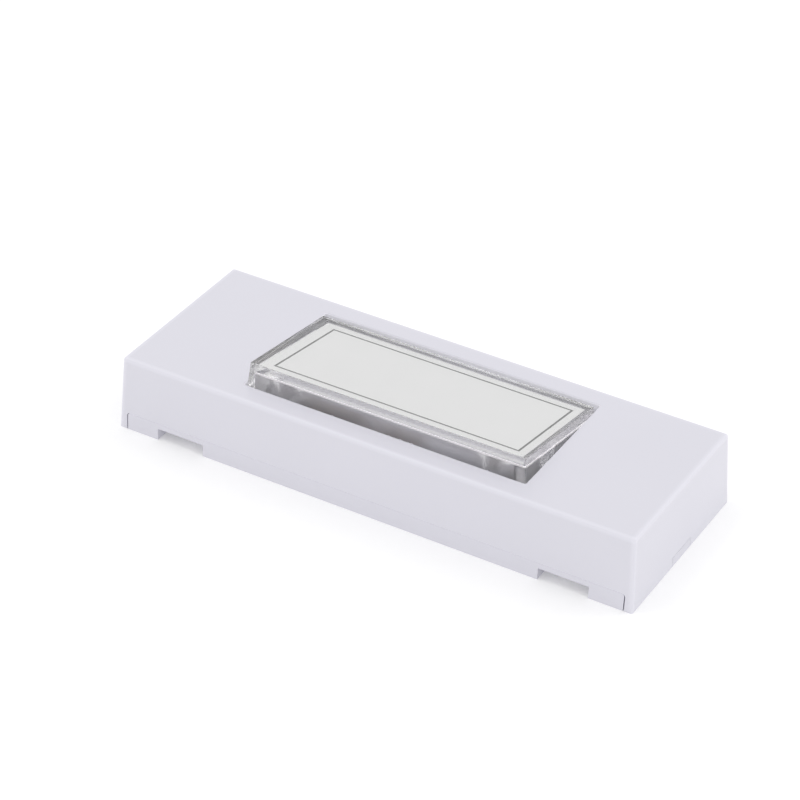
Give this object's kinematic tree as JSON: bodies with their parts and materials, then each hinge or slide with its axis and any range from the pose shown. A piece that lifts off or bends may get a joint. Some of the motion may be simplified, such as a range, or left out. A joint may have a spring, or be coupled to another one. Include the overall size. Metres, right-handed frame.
{
  "type": "doorbell push button",
  "caption": "Low oblong surface-mounted bell push with a drafted white case and a clear sloping rocker button that holds a name card over a lamp.",
  "frame": {"origin": "middle of the back of the case, on the wall face, below the middle of the case in plan", "axes": "+X along the long side of the case, +Y across it towards the edge that the button is hinged at, +Z out of the wall"},
  "size_m": [0.09, 0.0324, 0.0168],
  "materials": {
    "white_plastic": "satin moulded white ABS",
    "base_plastic": "satin moulded white ABS",
    "clear_plastic": "polished clear polystyrene",
    "card": "matt white card with a thin printed border",
    "spring_steel": "drawn bright wire",
    "spring_bronze": "rolled phosphor bronze",
    "tinned_brass": "stamped brass, tin-plated",
    "contact_silver": "silver-faced contact rivet",
    "zinc_steel": "zinc-plated steel",
    "nickel": "nickel-plated brass",
    "lamp_glass": "clear drawn glass",
    "tungsten": "dark wire"
  },
  "bodies": {
    "case": {"front_cover": "white_plastic", "base_plate": "base_plastic", "return_spring_left": "spring_steel", "return_spring_right": "spring_steel", "contact_leaf": "spring_bronze", "moving_contact": "contact_silver", "fixed_contact": "tinned_brass", "fixed_contact_rivet": "contact_silver", "terminal_plate_left": "tinned_brass", "terminal_plate_right": "tinned_brass", "clamp_washers": "zinc_steel", "terminal_screws": "zinc_steel", "lamp_clip_left": "tinned_brass", "lamp_clip_right": "tinned_brass", "clip_rivets": "tinned_brass", "lamp_cap_left": "nickel", "lamp_cap_right": "nickel", "lamp_glass": "lamp_glass", "lamp_filament": "tungsten"},
    "button": {"push_rocker": "clear_plastic", "lens_cover": "clear_plastic", "name_card": "card"}
  },
  "joints": [
    {"name": "button_press", "type": "hinge", "parent": "case", "child": "button", "pos_m": [0, 0.0094, 0.0108], "axis": [1, 0, 0], "range_deg": [0, 5.5], "stiffness_Nm_per_rad": 0.18, "springref_deg": -9.17, "deforming": ["return_spring_left", "return_spring_right", "contact_leaf", "moving_contact"]}
  ]
}
